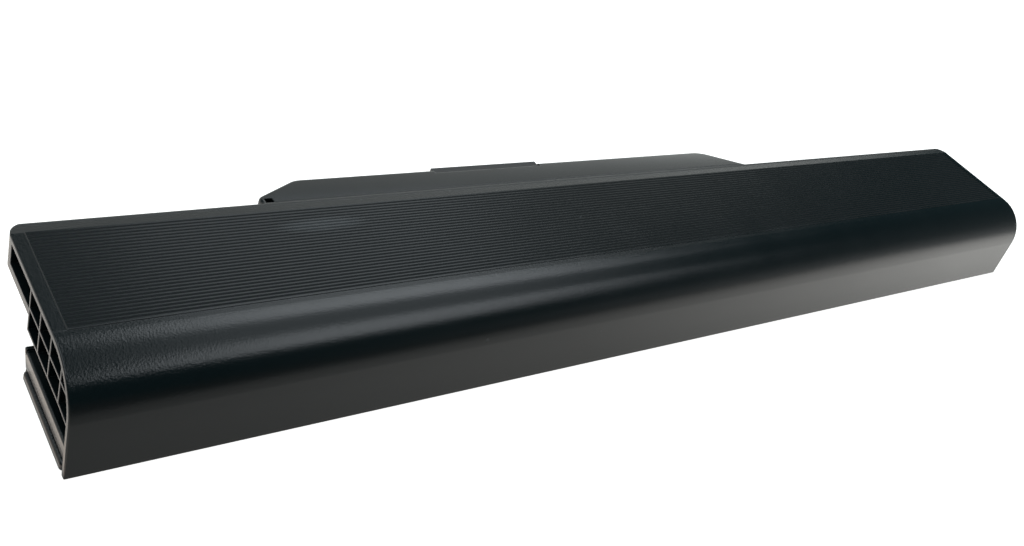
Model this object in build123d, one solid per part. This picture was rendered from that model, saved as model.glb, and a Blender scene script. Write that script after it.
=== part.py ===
from build123d import *
import math
import os

# Bar-type laptop battery. Sizes are in millimetres. The pieces are drawn on a bench frame: X runs along the
# pack from its left end plane, Y runs back from the foot of the front wall towards the connector, and Z runs
# up from the face that the pack lies on. The finished pieces are shifted so that the origin is the middle of
# the pack's footprint.

# Cells, in one row, end to end
cell_count = 4
cell_diameter = 18.3
cell_length = 65.0
cell_gap = 1.2
cell_end_gap = 0.8
cell_clearance = 0.1
cap_diameter = 8.0
cap_height = 0.5
crimp_offset = 4.2
crimp_width = 1.8
crimp_depth = 0.6
can_edge_bevel = 0.8
ring_diameter = 16.8
ring_bore = 9.0
ring_thickness = 0.2

# Skins and walls of the two covers
top_skin = 0.95
bottom_skin = 0.85
front_wall = 1.4
rear_wall = 1.4
rear_gap = 0.9
seam_gap = 0.1
cut_margin = 1.0
front_lean = 4.15
front_round = 9.83

# Wing along the rear of the top
wing_reach = 15.35
wing_height = 6.5
wing_floor = 1.5
wing_rear_wall = 1.8
wing_end_wall = 4.4
wing_corner_round = 3.4
wing_edge_round = 0.5
rear_slope = 6.0

# Ridged panel on the top
panel_rise = 0.2
panel_end_border = 2.15
panel_front_border = 1.15
panel_rear_border = 3.0
panel_rim = 0.25
panel_bevel = 0.12
ridge_pitch = 0.817
groove_width = 0.5
groove_depth = 0.3

# Ribbed ends
crate_depth = 3.4
end_skin = 1.0
end_edge_round = 0.25
bulkhead = 1.0
rib_thickness = 0.45
rib_pitch = 5.5
rib_count = 3
crate_floor_drop = 3.1
crate_floor_dip = 0.45
slot_height = 4.4
slot_lip_width = 0.6
slot_lip_foot = 0.7
slot_lip_rise = 0.5
slot_lip_round = 0.3
block_wall = 1.2
block_round = 0.4
block_setback = 0.4
block_seam_level = 3.4
flange_reach = 0.1
flange_height = 1.6
flange_corner_round = 0.8
flange_foot_round = 0.2
flange_top_round = 0.6
groove_over_flange = 0.4
groove_reach = 0.9

# Tongue behind the wing, which holds the circuit board
tongue_left = 44.4
tongue_base_width = 136.6
tongue_reach = 7.5
tongue_left_face = 2.2
tongue_left_slope = 9.8
tongue_right_slope = 11.0
tongue_corner_rounds = (2.0, 4.5, 9.0)
tongue_step = 0.1
tongue_roof = 1.0
tongue_wall = 1.2
tongue_height = 9.9
tongue_floor = 1.0
tongue_edge_round = 0.6
notch_inset = 0.9
notch_length = 1.7
notch_width = 1.5
notch_depth = 0.6

# Circuit board and the connector on its rear edge
board_thickness = 1.0
board_lift = 1.8
board_front_gap = 1.2
board_edge_gap = 1.0
post_diameter = 4.0
post_inset = 4.0
pin_diameter = 1.6
pin_clearance = 0.1
pin_rise = 0.6
connector_offset = 42.6
connector_width = 28.6
connector_depth = 8.0
connector_lip = 1.0
connector_top_drop = 0.3
contact_count = 8
contact_pitch = 3.2
contact_slot_width = 1.4
contact_slot_height = 3.6
contact_slot_depth = 6.0
contact_slot_floor = 0.8
contact_thickness = 0.3
contact_length = 4.6
contact_height = 2.6

# Nickel strips and leads
strip_thickness = 0.2
strip_width = 8.0
lug_width = 3.2
lug_angle = 38.4
lug_gap = 0.55
lead_diameter = 1.5
sense_lead_diameter = 1.0
lead_bend = 2.5
landing_line_gap = 5.5
solder_gap = 0.05

# Parts on the circuit board, each as length along X, width along Y and height
gauge_chip_size = (9.7, 4.4, 1.1)
gauge_chip_lead_count = 14
gauge_chip_lead_pitch = 0.65
small_chip_size = (4.9, 3.9, 1.4)
small_chip_lead_count = 4
small_chip_lead_pitch = 1.27
chip_lead_reach = 1.0
chip_lead_height = 0.3
chip_lead_share = 0.5
sense_resistor_size = (6.4, 3.2, 0.7)
thermal_fuse_size = (9.0, 5.0, 2.6)
capacitor_size = (2.0, 1.25, 1.2)
resistor_size = (1.6, 0.8, 0.5)
passive_pitch = 3.2
passive_cap = 0.35
passive_step = 0.04
parts_line_inset = 7.0
rear_line_inset = 1.9
front_line_inset = 3.0
fuse_gap = 0.8
switch_offsets = (11.0, 19.0)
capacitor_offset = 8.0
capacitor_count = 6
resistor_offset = 10.0
resistor_count = 7
thermistor_offset = 5.0
bead_diameter = 2.4
bead_gap = 0.1
thermistor_wire = 0.8

# Sheet and pads behind the cells
sheet_thickness = 0.25
sheet_bottom = 3.0
pad_height = 8.0
pad_length = 40.0
pad_gap = 0.05

# Sizes that follow
cell_radius = cell_diameter / 2
end_depth = crate_depth + bulkhead
row_length = cell_count * cell_length + (cell_count - 1) * cell_gap
pack_length = row_length + 2 * (cell_end_gap + end_depth)
pack_height = bottom_skin + cell_diameter + 2 * cell_clearance + top_skin
skin_underside = pack_height - top_skin
lean_sine = math.sin(math.radians(front_lean))
lean_cosine = math.cos(math.radians(front_lean))
cell_axis_z = bottom_skin + cell_clearance + cell_radius
cell_axis_y = (front_wall + cell_clearance + cell_radius + cell_axis_z * lean_sine) / lean_cosine
rear_wall_front = cell_axis_y + cell_radius + rear_gap
bar_depth = rear_wall_front + rear_wall
wing_depth = bar_depth + wing_reach
wing_underside = pack_height - wing_height
wing_inner = wing_depth - wing_rear_wall
wing_floor_top = wing_underside + wing_floor
tongue_right = tongue_left + tongue_base_width
tongue_rear = wing_depth + tongue_reach
slope_start = wing_depth - panel_rear_border
slope_fall = math.tan(math.radians(rear_slope))
wing_rear_top = pack_height - panel_rear_border * slope_fall
tongue_top = pack_height - tongue_step - (tongue_rear - slope_start) * slope_fall
tongue_underside = tongue_top - tongue_height
tongue_floor_top = tongue_underside + tongue_floor
connector_left = tongue_left + connector_offset
overall_depth = tongue_rear + connector_lip
connector_right = connector_left + connector_width
board_underside = tongue_floor_top + board_lift
board_top = board_underside + board_thickness
crate_floor_level = wing_underside - crate_floor_drop
slot_bottom = crate_floor_level - slot_height
lug_reach = cell_radius + lead_diameter / 2 + lug_gap
lug_offset_y = lug_reach * math.cos(math.radians(lug_angle))
lug_offset_z = lug_reach * math.sin(math.radians(lug_angle))

# The middle of the pack's footprint becomes the origin
to_origin = Pos(-pack_length / 2, -overall_depth / 2, 0)


def save(shape, node):
    """Shift a piece to the pack's origin and write it as its own file."""
    export_step(to_origin * shape, f"parts/{node}.step")


def block(x, y, z):
    """A box between two limits on each axis, each given as a pair."""
    size = Box(x[1] - x[0], y[1] - y[0], z[1] - z[0], align=(Align.MIN, Align.MIN, Align.MIN))
    return Pos(x[0], y[0], z[0]) * size


def rod(x, y, z, diameter, height):
    """An upright round post with its foot at a point."""
    post = Cylinder(diameter / 2, height, align=(Align.CENTER, Align.CENTER, Align.MIN))
    return Pos(x, y, z) * post


def carried_along(profile, start, end):
    """A section in Y and Z, carried along X from start to end."""
    return extrude(Plane.YZ.offset(start) * profile, end - start)


def at_both_ends(shape):
    """A shape at the left end together with its mirror image at the right end."""
    return [shape, mirror(shape, Plane.YZ.offset(pack_length / 2))]


def bar_section(inset, crown, foot, rear_points):
    """The leaning front wall, the front round and the flat top, closed by points at the rear and below."""
    radius = front_round - inset
    centre_z = crown - radius
    centre_y = (front_round + centre_z * lean_sine) / lean_cosine
    middle = math.radians(135 - front_lean / 2)
    wall_foot = ((inset + foot * lean_sine) / lean_cosine, foot)
    round_start = (centre_y - radius * lean_cosine, centre_z + radius * lean_sine)
    round_middle = (centre_y + radius * math.cos(middle), centre_z + radius * math.sin(middle))
    round_end = (centre_y, crown)
    wall = Line(wall_foot, round_start)
    arc = ThreePointArc(round_start, round_middle, round_end)
    rest = Polyline(round_end, *rear_points, wall_foot)
    return make_face(wall + arc + rest)


def front_round_end():
    """Where the front round runs out into the flat top."""
    return (front_round + (pack_height - front_round) * lean_sine) / lean_cosine


def inner_front(level):
    """How far back the inside of the front wall lies at a height."""
    return (front_wall + level * lean_sine) / lean_cosine


def tongue_outline(front):
    """The tongue seen from above: a short left face, two slanted ends and a straight rear edge."""
    left_face_end = wing_depth + tongue_left_face
    corners = [
        (tongue_left, left_face_end),
        (tongue_left + tongue_left_slope, tongue_rear),
        (tongue_right - tongue_right_slope, tongue_rear),
    ]
    right_side = [(tongue_right, wing_depth), (tongue_right, front)]
    face = make_face(Polyline((tongue_left, front), *corners, *right_side, close=True))
    for corner, radius in zip(corners, tongue_corner_rounds):
        vertex = face.vertices().sort_by_distance((corner[0], corner[1], 0))[0]
        face = fillet(vertex, radius)
    return face


def behind_front_wall(x, z, rear, gap=0.0):
    """A block whose front face follows the inside of the leaning front wall, a gap away from it."""
    front_low = inner_front(z[0]) + gap
    front_high = inner_front(z[1]) + gap
    corners = [(front_low, z[0]), (front_high, z[1]), (rear, z[1]), (rear, z[0])]
    return carried_along(make_face(Polyline(*corners, close=True)), x[0], x[1])


def ridged_panel():
    """The raised panel of the top, with its row of fine grooves cut along it."""
    front = front_round_end() + panel_front_border
    rear = slope_start
    ends = (panel_end_border, pack_length - panel_end_border)
    crown = pack_height + panel_rise
    panel = block(ends, (front, rear), (skin_underside + top_skin / 2, crown))
    panel = chamfer(panel.faces().sort_by(Axis.Z)[-1].edges(), panel_bevel)
    groove_count = int((rear - front - 2 * panel_rim) / ridge_pitch)
    first = (front + rear - (groove_count - 1) * ridge_pitch) / 2
    grooves = []
    for index in range(groove_count):
        middle = first + index * ridge_pitch
        lips = [(middle - groove_width / 2, crown), (middle + groove_width / 2, crown)]
        profile = make_face(Polyline(*lips, (middle, crown - groove_depth), close=True))
        grooves.append(carried_along(profile, ends[0] + panel_rim, ends[1] - panel_rim))
    return panel, grooves


def end_ribs():
    """The egg-crate of thin ribs in the left end, with the floor that closes it over the guide slot."""
    depth = (0, crate_depth + bulkhead / 2)
    under_skin = pack_height - end_skin / 2
    middle = (wing_floor_top, wing_floor_top + rib_thickness)
    ribs = [behind_front_wall(depth, middle, bar_depth, -front_wall)]
    for index in range(rib_count + 1):
        rear = bar_depth - index * rib_pitch
        ribs.append(block(depth, (rear - rib_thickness, rear), (crate_floor_level, under_skin)))
    dip_start = bar_depth - rib_count * rib_pitch
    dip_level = crate_floor_level - crate_floor_dip
    dip_end = inner_front(dip_level) - front_wall / 2
    top_line = [(bar_depth, crate_floor_level), (dip_start, crate_floor_level), (dip_end, dip_level)]
    bottom_line = [(y, z + rib_thickness) for y, z in reversed(top_line)]
    ribs.append(carried_along(make_face(Polyline(*top_line, *bottom_line, close=True)), *depth))

    # Each rib ends inside the skin that it runs into
    rear_points = [(bar_depth, under_skin), (bar_depth, 0)]
    within = carried_along(bar_section(end_skin / 2, under_skin, 0, rear_points), *depth)
    return [rib & within for rib in ribs]


def end_wedge():
    """What is cut off the left end block, so that its face leans out from the flange up to the slot."""
    corners = [
        (-cut_margin, flange_height),
        (block_setback, flange_height),
        (0, slot_bottom),
        (-cut_margin, slot_bottom),
    ]
    profile = make_face(Polyline(*corners, close=True))
    return extrude(Plane.XZ.offset(-bar_depth - cut_margin) * profile, bar_depth + 2 * cut_margin)


def end_block():
    """The upper half of the block under the guide slot of the left end, with the lip at the slot's rear."""
    depth = (0, crate_depth + bulkhead / 2)
    height = (block_seam_level, slot_bottom)
    body = behind_front_wall(depth, height, bar_depth, -end_skin / 2) - end_wedge()
    brow = body.edges().filter_by(Axis.Y).group_by(Axis.Z)[-1].sort_by(Axis.X)[0]
    body = fillet(brow, block_round)
    lip_y = (bar_depth - slot_lip_width, bar_depth)
    lip = block(depth, lip_y, (slot_bottom - slot_lip_foot, slot_bottom + slot_lip_rise))
    lip_face = lip.faces().sort_by(Axis.X)[0]
    return [body, fillet(lip_face.edges().group_by(Axis.Z)[-1], slot_lip_round)]


def top_cover():
    """Ridged top, rounded front, wing, tongue roof and ribbed ends, moulded in one piece."""
    rear_points = [
        (slope_start, pack_height),
        (wing_depth, wing_rear_top),
        (wing_depth, wing_underside),
        (bar_depth, wing_underside),
        (bar_depth, 0),
    ]
    section = bar_section(0, pack_height, 0, rear_points)
    rear_edge = section.vertices().sort_by_distance((wing_depth, wing_rear_top, 0))[0]
    section = fillet(rear_edge, wing_edge_round)
    cover = carried_along(section, 0, pack_length)

    # The edges of both end planes are broken, from the foot of the front wall over to the wing
    ends = cover.faces().group_by(Axis.X)[0] + cover.faces().group_by(Axis.X)[-1]
    outer = [edge for edge in ends.edges() if edge.center().Y < slope_start and edge.center().Z > bottom_skin]
    rims = [edge for edge in outer if edge.center().Y < front_round or edge.center().Z > skin_underside]
    cover = fillet(rims, end_edge_round)

    # The rear corners are round when seen from above
    plan = Pos(pack_length / 2, 0) * Rectangle(pack_length, 2 * wing_depth)
    plan = fillet(plan.vertices().group_by(Axis.Y)[-1], wing_corner_round)
    cover = cover & extrude(plan, 2 * pack_height)

    # Cell space, and the open ends with their ribs
    below = -cut_margin
    wing_rear = [(wing_inner, skin_underside), (wing_inner, below)]
    inside = bar_section(front_wall, skin_underside, below, wing_rear)
    cover -= carried_along(inside, end_depth, pack_length - end_depth)
    end_crown = pack_height - end_skin
    bar_rear = [(bar_depth, end_crown), (bar_depth, below)]
    end_space = carried_along(bar_section(end_skin, end_crown, below, bar_rear), below, crate_depth)
    wing_pocket_y = (bar_depth, wing_depth - wing_end_wall)
    wing_space = block((below, crate_depth), wing_pocket_y, (wing_floor_top, end_crown))
    cover -= at_both_ends(end_space)
    cover -= at_both_ends(wing_space)
    for rib in end_ribs() + end_block():
        cover += at_both_ends(rib)
    under_seam = behind_front_wall((below, end_depth), (below, block_seam_level), bar_depth + cut_margin)
    under_block = (below, slot_bottom - block_wall)
    block_space_x = (block_wall, end_depth)
    block_space = behind_front_wall(block_space_x, under_block, bar_depth - block_wall)
    cover -= at_both_ends(under_seam)
    cover -= at_both_ends(block_space)

    # Tongue
    foot = wing_underside + seam_gap
    roof = extrude(Pos(0, 0, foot) * tongue_outline(wing_inner), pack_height - foot) & under_slope()
    rim = roof.faces().sort_by(Axis.Z)[-1].edges()
    roof = fillet(rim - rim.group_by(Axis.Y)[0], tongue_edge_round)
    cover += roof
    hollow = offset(tongue_outline(rear_wall_front), -tongue_wall)
    cover -= extrude(Pos(0, 0, below) * hollow, tongue_top - tongue_roof - below)
    notch_x = tongue_left + notch_inset
    notch_y = wing_depth + seam_gap
    cover -= block((notch_x, notch_x + notch_length), (notch_y, notch_y + notch_width),
                   (tongue_top - notch_depth, pack_height))
    cover -= connector_opening()

    panel, grooves = ridged_panel()
    cover += panel
    cover -= grooves
    return cover


def under_slope():
    """The space under the slope that the tongue's top follows down to its rear edge."""
    front_top = pack_height - tongue_step
    rear = tongue_rear + cut_margin
    rear_top = tongue_top - cut_margin * slope_fall
    corners = [(slope_start, 0), (slope_start, front_top), (rear, rear_top), (rear, 0)]
    return carried_along(make_face(Polyline(*corners, close=True)), tongue_left, tongue_right)


def connector_opening():
    """The gap in the tongue's rear wall that the connector fills."""
    x = (connector_left - seam_gap, connector_right + seam_gap)
    y = (tongue_rear - tongue_wall, tongue_rear + cut_margin)
    return block(x, y, (board_top - seam_gap, pack_height))


def bottom_cover():
    """Base plate with its end flanges, rear wall, wing floor and the tongue's tray, moulded in one piece."""
    plate_front = inner_front(flange_height) + seam_gap
    plate_middle = Pos(pack_length / 2, (plate_front + bar_depth) / 2)
    outline = plate_middle * Rectangle(pack_length + 2 * flange_reach, bar_depth - plate_front)
    outline = fillet(outline.vertices(), flange_corner_round)
    cover = extrude(outline, flange_height)
    foot = cover.faces().sort_by(Axis.Z)[0].edges()
    cover = fillet(foot.filter_by(GeomType.CIRCLE) + foot.filter_by(Axis.Y), flange_foot_round)
    brow = cover.faces().sort_by(Axis.Z)[-1].edges()
    cover = fillet(brow.filter_by(GeomType.CIRCLE) + brow.filter_by(Axis.Y), flange_top_round)

    # Lower halves of the end blocks, with a shadow groove over the flange
    end_wall_top = block_seam_level - seam_gap
    blocks_x = (block_setback, pack_length - block_setback)
    blocks = behind_front_wall(blocks_x, (0, flange_height), bar_depth, seam_gap)
    walls = behind_front_wall((0, pack_length), (flange_height, end_wall_top), bar_depth, seam_gap)
    cover += blocks + (walls - at_both_ends(end_wedge()))
    groove_level = (flange_height, flange_height + groove_over_flange)
    groove = block((-cut_margin, groove_reach), (0, bar_depth + cut_margin), groove_level)
    cover -= at_both_ends(groove)
    tray_x = (block_setback + block_wall, pack_length - block_setback - block_wall)
    tray_front = plate_front + block_wall
    over_walls = end_wall_top + cut_margin
    cover -= block(tray_x, (0, rear_wall_front), (flange_height, over_walls))
    cover -= block(tray_x, (tray_front, rear_wall_front), (bottom_skin, over_walls))

    # Rear wall and wing floor between the bulkheads
    run = (end_depth + seam_gap, pack_length - end_depth - seam_gap)
    cover += block(run, (rear_wall_front, bar_depth), (0, wing_floor_top))
    cover += block(run, (rear_wall_front, wing_inner - seam_gap), (wing_underside, wing_floor_top))

    # Tray under the tongue
    tray = tongue_outline(rear_wall_front + rear_wall / 2)
    cover += extrude(Pos(0, 0, tongue_underside) * tray, wing_underside - tongue_underside)
    hollow = offset(tongue_outline(rear_wall_front - rear_wall), -tongue_wall)
    cover -= extrude(Pos(0, 0, tongue_floor_top) * hollow, pack_height)
    cover -= connector_opening()
    for x, y in post_places():
        cover += rod(x, y, tongue_floor_top - tongue_floor / 2, post_diameter, board_lift + tongue_floor / 2)
        pin_height = board_thickness + pin_rise + board_lift
        cover += rod(x, y, tongue_floor_top, pin_diameter, pin_height)
    return cover


def board_front():
    """Where the front edge of the circuit board lies."""
    return bar_depth + board_front_gap


def board_rear():
    """Where the rear edge of the circuit board lies."""
    return tongue_rear - tongue_wall - board_edge_gap


def post_places():
    """The four posts that carry the circuit board, near its corners."""
    inset = tongue_wall + board_edge_gap + post_inset
    xs = (tongue_left + inset + tongue_left_slope, tongue_right - inset - tongue_right_slope)
    ys = (board_front() + post_inset, board_rear() - post_inset)
    return [(x, y) for x in xs for y in ys]


def circuit_board():
    """A board that follows the tongue's outline, with holes for the four pins."""
    margin = tongue_wall + board_edge_gap
    outline = offset(tongue_outline(board_front() - margin), -margin)
    board = extrude(Pos(0, 0, board_underside) * outline, board_thickness)
    for x, y in post_places():
        hole = pin_diameter + 2 * pin_clearance
        board -= rod(x, y, board_underside - cut_margin, hole, board_thickness + 2 * cut_margin)
    return board


def connector_housing():
    """A block on the rear edge of the board, with a row of slots for the blades of the laptop."""
    x = (connector_left, connector_right)
    rear = tongue_rear + connector_lip
    roof_underside = tongue_top - tongue_roof
    housing = block(x, (rear - connector_depth, rear), (board_top, roof_underside - seam_gap))
    lip_y = (tongue_rear - tongue_wall + seam_gap, rear)
    housing += block(x, lip_y, (board_top, tongue_top - connector_top_drop))
    for middle in contact_places():
        slot_x = (middle - contact_slot_width / 2, middle + contact_slot_width / 2)
        housing -= block(slot_x, (rear - contact_slot_depth, rear + cut_margin), contact_slot_levels())
    return housing


def contact_places():
    """The middles of the connector's slots along the pack."""
    first = connector_left + connector_width / 2 - (contact_count - 1) * contact_pitch / 2
    return [first + index * contact_pitch for index in range(contact_count)]


def contact_slot_levels():
    """The lowest and highest point of the connector's slots."""
    low = board_top + contact_slot_floor
    return (low, low + contact_slot_height)


def connector_contacts():
    """A pair of spring leaves in each slot, joined at the back like a fork."""
    low, high = contact_slot_levels()
    middle_z = (low + high) / 2
    back = tongue_rear + connector_lip - contact_slot_depth
    height = (middle_z - contact_height / 2, middle_z + contact_height / 2)
    contacts = []
    for middle in contact_places():
        half = contact_slot_width / 2 - contact_thickness / 2
        fork = block((middle - half, middle + half), (back, back + contact_length), height)
        gap = half - contact_thickness
        mouth = (back + contact_thickness, back + contact_length + cut_margin)
        fork -= block((middle - gap, middle + gap), mouth, height)
        contacts.append(fork)
    return Compound(contacts)


def cell_start(index):
    """Where a cell's negative end lies along the pack, counted from the left."""
    return end_depth + cell_end_gap + index * (cell_length + cell_gap)


def cell_end(index):
    """Where the face of a cell's positive cap lies along the pack."""
    return cell_start(index) + cell_length


def cell(index):
    """A sealed round can with bevelled ends, a crimp under its top and a flat cap."""
    can_end = cell_length - cap_height
    crimp = can_end - crimp_offset
    waist = cell_radius - crimp_depth
    outline = [
        (0, 0),
        (0, cell_radius),
        (crimp - crimp_width / 2, cell_radius),
        (crimp, waist),
        (crimp + crimp_width / 2, cell_radius),
        (can_end, cell_radius),
        (can_end, cap_diameter / 2),
        (cell_length, cap_diameter / 2),
        (cell_length, 0),
    ]
    face = make_face(Polyline(*outline, close=True))
    for corner in (outline[1], outline[5]):
        vertex = face.vertices().sort_by_distance((corner[0], corner[1], 0))[0]
        face = chamfer(vertex, can_edge_bevel)
    can = revolve(face, Axis.X)
    return Pos(cell_start(index), cell_axis_y, cell_axis_z) * can


def cell_ring(index):
    """The insulating ring round a cell's positive cap."""
    ring = Circle(ring_diameter / 2) - Circle(ring_bore / 2)
    start = cell_end(index) - cap_height
    return extrude(Plane.YZ.offset(start) * Pos(cell_axis_y, cell_axis_z) * ring, ring_thickness)


def strip_plate(start):
    """A nickel plate on the end of a cell, with an arm up to the lug that a lead is soldered to."""
    half = strip_width / 2
    lug_half = lug_width / 2
    corners = [
        (-half, -half),
        (half, -half),
        (half, 0),
        (lug_offset_y + lug_half, lug_offset_z - lug_half),
        (lug_offset_y + lug_half, lug_offset_z + lug_half),
        (lug_offset_y - lug_half, lug_offset_z + lug_half),
        (0, half),
        (-half, half),
    ]
    face = Pos(cell_axis_y, cell_axis_z) * make_face(Polyline(*corners, close=True))
    return extrude(Plane.YZ.offset(start) * face, strip_thickness)


def link_strip(index):
    """A strip folded between a cell's cap and the next cell's bottom, with a lug for its sense lead."""
    start = cell_end(index)
    end = cell_start(index + 1)
    half = strip_width / 2
    y = (cell_axis_y - half, cell_axis_y + half)
    fold_z = cell_axis_z - half
    strip = block((start, start + strip_thickness), y, (fold_z, cell_axis_z + half))
    strip += strip_plate(end - strip_thickness)
    outer = Circle(cell_gap / 2) - Circle(cell_gap / 2 - strip_thickness)
    ring = extrude(Plane.XZ.offset(-y[1]) * Pos((start + end) / 2, fold_z) * outer, strip_width)
    return strip + (ring & block((start, end), y, (fold_z - cell_gap, fold_z)))


def lead(points, diameter):
    """A round insulated wire along a route of straight runs joined by arcs."""
    route = FilletPolyline(*points, radius=lead_bend)
    section = Plane(origin=route @ 0, z_dir=route % 0) * Circle(diameter / 2)
    return sweep(section, route)


def lead_to_board(start, direction, diameter, run, landing_y):
    """A wire from a lug, along the shoulder of a cell, then down to the board, ending along it."""
    y = cell_axis_y + lug_offset_y
    z = cell_axis_z + lug_offset_z
    turn = start + direction * run
    landing = board_top + diameter / 2 + solder_gap
    step = 2 * lead_bend
    points = [
        (start, y, z),
        (turn, y, z),
        (turn + direction * step, landing_y - step, z),
        (turn + 2 * direction * step, landing_y, landing),
        (turn + 3 * direction * step, landing_y, landing),
    ]
    return lead(points, diameter)


def on_board(x, y, size):
    """The limits of a part of a given size that lies on the board with its middle at a point."""
    limits_x = (x - size[0] / 2, x + size[0] / 2)
    limits_y = (y - size[1] / 2, y + size[1] / 2)
    return limits_x, limits_y, (board_top, board_top + size[2])


def leaded_chip(x, y, size, lead_count, lead_pitch):
    """A chip whose leads stand out of its two long sides and rest on the board."""
    body_x, body_y, body_z = on_board(x, y, size)
    chip = block(body_x, body_y, (board_top + chip_lead_height / 2, body_z[1]))
    reach = (body_y[0] - chip_lead_reach, body_y[1] + chip_lead_reach)
    half = lead_pitch * chip_lead_share / 2
    first = x - (lead_count - 1) * lead_pitch / 2
    for index in range(lead_count):
        middle = first + index * lead_pitch
        chip += block((middle - half, middle + half), reach, (board_top, board_top + chip_lead_height))
    return chip


def capped_chip(x, y, size):
    """A small block with a slightly thicker metal cap at each end."""
    chip_x, chip_y, chip_z = on_board(x, y, size)
    body_y = (chip_y[0] + passive_step, chip_y[1] - passive_step)
    chip = block(chip_x, body_y, (board_top, chip_z[1] - passive_step))
    chip += block((chip_x[0], chip_x[0] + passive_cap), chip_y, chip_z)
    chip += block((chip_x[1] - passive_cap, chip_x[1]), chip_y, chip_z)
    return chip


def spread_between(start, end, lengths):
    """The middles of parts of given lengths, set with equal gaps between two limits along the pack."""
    gap = (end - start - sum(lengths)) / (len(lengths) + 1)
    middles = []
    for length in lengths:
        middles.append(start + gap + length / 2)
        start += gap + length
    return middles


def chip_row(first_x, y, size, count):
    """A row of small capped parts along the board."""
    return Compound([capped_chip(first_x + index * passive_pitch, y, size) for index in range(count)])


def thermistor(x):
    """A bead on the shoulder of a cell, on a wire that comes down to the board."""
    length = math.hypot(lug_offset_y, lug_offset_z)
    reach = cell_radius + bead_diameter / 2 + bead_gap
    y = cell_axis_y + lug_offset_y / length * reach
    z = cell_axis_z + lug_offset_z / length * reach
    landing = board_top + thermistor_wire / 2 + solder_gap
    step = 2 * lead_bend
    landing_y = board_front() + step
    points = [(x, y, z), (x, landing_y, z), (x + step, landing_y + step / 2, landing),
              (x + 2 * step, landing_y + step / 2, landing)]
    return Pos(x, y, z) * Sphere(bead_diameter / 2) + lead(points, thermistor_wire)


def insulating_sheet():
    """A sheet on the front of the rear wall, between it and the cells."""
    run = (end_depth + cell_end_gap, pack_length - end_depth - cell_end_gap)
    y = (rear_wall_front - sheet_thickness, rear_wall_front)
    return block(run, y, (sheet_bottom, wing_underside))


def cell_pads():
    """An adhesive pad between each cell and the sheet."""
    y = (cell_axis_y + cell_radius + pad_gap, rear_wall_front - sheet_thickness)
    z = (cell_axis_z - pad_height / 2, cell_axis_z + pad_height / 2)
    pads = []
    for index in range(cell_count):
        middle = cell_start(index) + cell_length / 2
        pads.append(block((middle - pad_length / 2, middle + pad_length / 2), y, z))
    return Compound(pads)


def positive_lead_end():
    """Where the positive lead ends on the board, along the pack."""
    return tongue_right - tongue_right_slope - 4 * lead_bend


def positive_lead():
    """The wire from the positive tab, through the wing, to the right end of the board."""
    start = cell_end(cell_count - 1) - solder_gap
    y = cell_axis_y + lug_offset_y
    z = cell_axis_z + lug_offset_z
    wing_y = bar_depth + lead_diameter + 2 * lead_bend
    landing = board_top + lead_diameter / 2 + solder_gap
    step = 2 * lead_bend
    landing_x = positive_lead_end()
    landing_y = wing_y + 3 * lead_bend
    points = [
        (start, y, z),
        (start - step, y, z),
        (start - 2 * step, wing_y, z),
        (landing_x + 3 * step, wing_y, z),
        (landing_x + 3 * step / 2, landing_y, landing),
        (landing_x, landing_y, landing),
    ]
    return lead(points, lead_diameter)


os.makedirs("parts", exist_ok=True)
save(top_cover(), "top_cover")
save(bottom_cover(), "bottom_cover")
for number in range(cell_count):
    save(cell(number), f"cell_{number + 1}")
    save(cell_ring(number), f"cell_ring_{number + 1}")
for number in range(cell_count - 1):
    save(link_strip(number), f"link_strip_{number + 1}")
save(strip_plate(cell_start(0) - strip_thickness), "negative_tab")
save(strip_plate(cell_end(cell_count - 1)), "positive_tab")

landing_y = board_front() + 3 * lead_bend
left_run = tongue_left + tongue_wall + lead_diameter - cell_start(0)
save(lead_to_board(cell_start(0) + solder_gap, 1, lead_diameter, left_run, landing_y), "negative_lead")
save(positive_lead(), "positive_lead")
for number in range(cell_count - 2):
    start = cell_start(number + 1) + solder_gap
    save(lead_to_board(start, 1, sense_lead_diameter, 2 * lead_bend, landing_y), f"sense_lead_{number + 1}")
last_link = cell_start(cell_count - 1) - strip_thickness - solder_gap
right_run = last_link - tongue_right + tongue_wall + sense_lead_diameter
near_landing = landing_y - landing_line_gap
last_sense = lead_to_board(last_link, -1, sense_lead_diameter, right_run, near_landing)
save(last_sense, f"sense_lead_{cell_count - 1}")

save(circuit_board(), "circuit_board")
save(connector_housing(), "connector_housing")
save(connector_contacts(), "connector_contacts")
parts_line = board_rear() - parts_line_inset
rear_line = board_rear() - rear_line_inset
front_line = board_front() + front_line_inset
fuse_right = positive_lead_end() - fuse_gap
fuse_left = fuse_right - thermal_fuse_size[0]
gauge_x, protection_x = spread_between(connector_right, fuse_left, (gauge_chip_size[0], small_chip_size[0]))
gauge_chip = (gauge_chip_size, gauge_chip_lead_count, gauge_chip_lead_pitch)
small_chip = (small_chip_size, small_chip_lead_count, small_chip_lead_pitch)
save(leaded_chip(gauge_x, parts_line, *gauge_chip), "gauge_chip")
save(leaded_chip(protection_x, parts_line, *small_chip), "protection_chip")
switches = [leaded_chip(connector_left - shift, parts_line, *small_chip) for shift in switch_offsets]
save(Compound(switches), "switch_transistors")
save(capped_chip(connector_left - switch_offsets[1], rear_line, sense_resistor_size), "sense_resistor")
save(capped_chip((fuse_left + fuse_right) / 2, parts_line, thermal_fuse_size), "thermal_fuse")
capacitors_x = connector_right + capacitor_offset
save(chip_row(capacitors_x, rear_line, capacitor_size, capacitor_count), "chip_capacitors")
resistors_x = connector_left + resistor_offset
save(chip_row(resistors_x, front_line, resistor_size, resistor_count), "chip_resistors")
save(thermistor(connector_right + thermistor_offset), "thermistor")
save(insulating_sheet(), "insulating_sheet")
save(cell_pads(), "cell_pads")
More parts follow.
